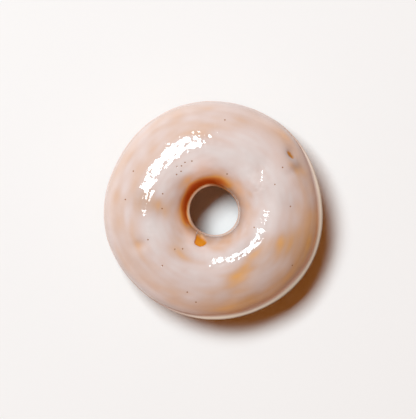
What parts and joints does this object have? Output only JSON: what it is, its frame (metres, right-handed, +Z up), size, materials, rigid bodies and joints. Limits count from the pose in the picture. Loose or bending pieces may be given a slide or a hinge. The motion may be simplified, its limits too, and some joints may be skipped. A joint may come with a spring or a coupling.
{
  "type": "ring doughnut",
  "caption": "Round fried dough ring with a see-through hole, its upper half coated in a thin translucent sugar glaze that ends in a raised bead on the rim and in the hole.",
  "frame": {"origin": "in the middle of the hole, at the level of the flat that the ring rests on", "axes": "+Z up along the axis of the hole, with the glazed side up; +X to the right and +Y to the top of the picture, which looks straight down"},
  "size_m": [0.09, 0.09, 0.0333],
  "materials": {
    "fried_crust": "Golden brown fried crust with a paler band round its waist, nearly matt, roughness about 0.6",
    "sugar_glaze": "Translucent pinkish white set sugar glaze over golden dough, glossy and slightly uneven, with pinholes"
  },
  "bodies": {
    "root": {"dough_ring": "fried_crust", "glaze": "sugar_glaze"}
  },
  "joints": []
}
